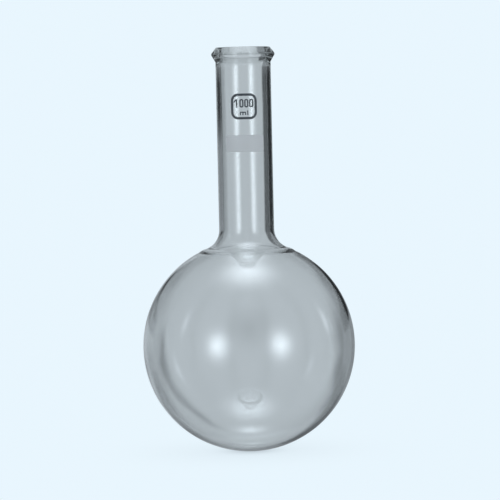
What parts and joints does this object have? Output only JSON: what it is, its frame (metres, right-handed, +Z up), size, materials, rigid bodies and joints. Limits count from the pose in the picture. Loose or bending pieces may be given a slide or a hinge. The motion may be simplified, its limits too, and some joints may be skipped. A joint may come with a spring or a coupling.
{
  "type": "round bottom flask",
  "caption": "Clear glass boiling flask: spherical bulb, flared shoulder, long straight neck with a beaded rim, capacity print and matt writing patch on the neck.",
  "frame": {"origin": "lowest point of the bulb's outside, on the axis of revolution", "axes": "+Z up the axis towards the mouth; the prints on the neck face -Y; +X to the right of someone who reads them"},
  "size_m": [0.131, 0.131, 0.25],
  "materials": {
    "borosilicate_glass": "clear fire-polished borosilicate glass, faintly smoky",
    "fired_enamel": "slate grey enamel fired on to the glass",
    "matt_enamel": "translucent matt enamel that takes pencil"
  },
  "bodies": {
    "root": {"bulb": "borosilicate_glass", "shoulder": "borosilicate_glass", "neck": "borosilicate_glass", "rim_bead": "borosilicate_glass", "mark_frame": "fired_enamel", "capacity_number": "fired_enamel", "capacity_unit": "fired_enamel", "writing_panel": "matt_enamel"}
  },
  "joints": []
}
